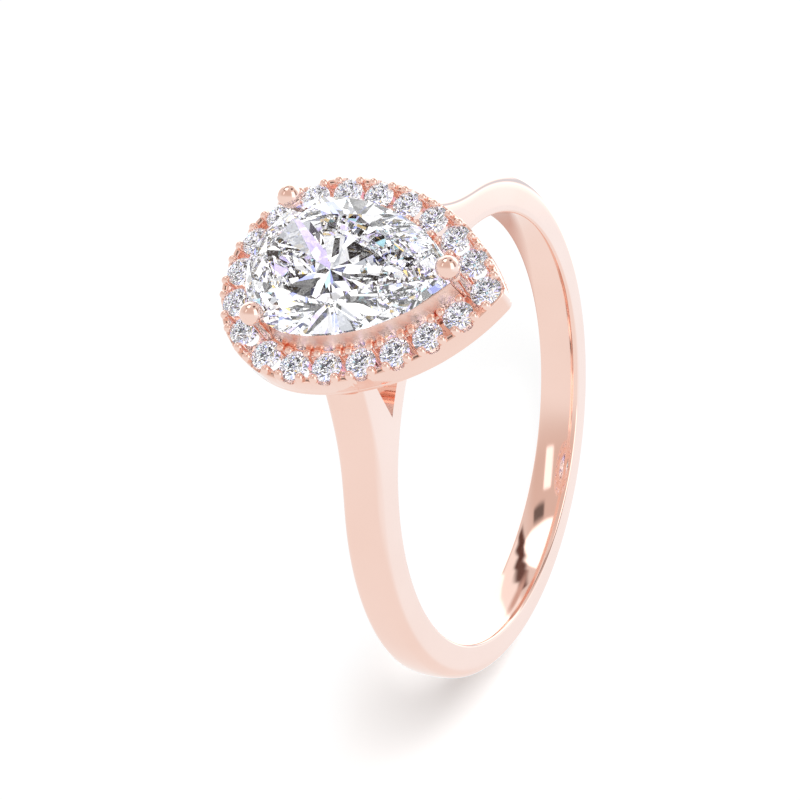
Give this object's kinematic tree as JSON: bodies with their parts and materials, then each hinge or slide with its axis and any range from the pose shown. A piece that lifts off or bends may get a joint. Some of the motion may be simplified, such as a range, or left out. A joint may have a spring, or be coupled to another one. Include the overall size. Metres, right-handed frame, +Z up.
{
  "type": "engagement ring",
  "caption": "Pear-cut halo engagement ring with ball-ended claws, raised gallery and cathedral shoulders on a plain tapering band.",
  "frame": {"origin": "the lowest point of the band, below the middle of the head", "axes": "+Z up from the foot of the band through the middle of the head, X across the shoulders, Y along the finger with the point of the pear towards -Y"},
  "size_m": [0.0196, 0.0108, 0.0235],
  "materials": {
    "rose_gold": "mirror polished rose gold",
    "diamond": "faceted and polished, clear"
  },
  "bodies": {
    "root": {"shank": "rose_gold", "shoulder_left": "rose_gold", "shoulder_right": "rose_gold", "lower_rail": "rose_gold", "seat_rail": "rose_gold", "halo_frame": "rose_gold", "claw_left": "rose_gold", "claw_right": "rose_gold", "claw_tip": "rose_gold", "centre_diamond": "diamond", "melee_diamond_01": "diamond", "melee_diamond_02": "diamond", "melee_diamond_03": "diamond", "melee_diamond_04": "diamond", "melee_diamond_05": "diamond", "melee_diamond_06": "diamond", "melee_diamond_07": "diamond", "melee_diamond_08": "diamond", "melee_diamond_09": "diamond", "melee_diamond_10": "diamond", "melee_diamond_11": "diamond", "melee_diamond_12": "diamond", "melee_diamond_13": "diamond", "melee_diamond_14": "diamond", "melee_diamond_15": "diamond", "melee_diamond_16": "diamond", "melee_diamond_17": "diamond", "melee_diamond_18": "diamond", "melee_diamond_19": "diamond", "melee_diamond_20": "diamond"}
  },
  "joints": []
}
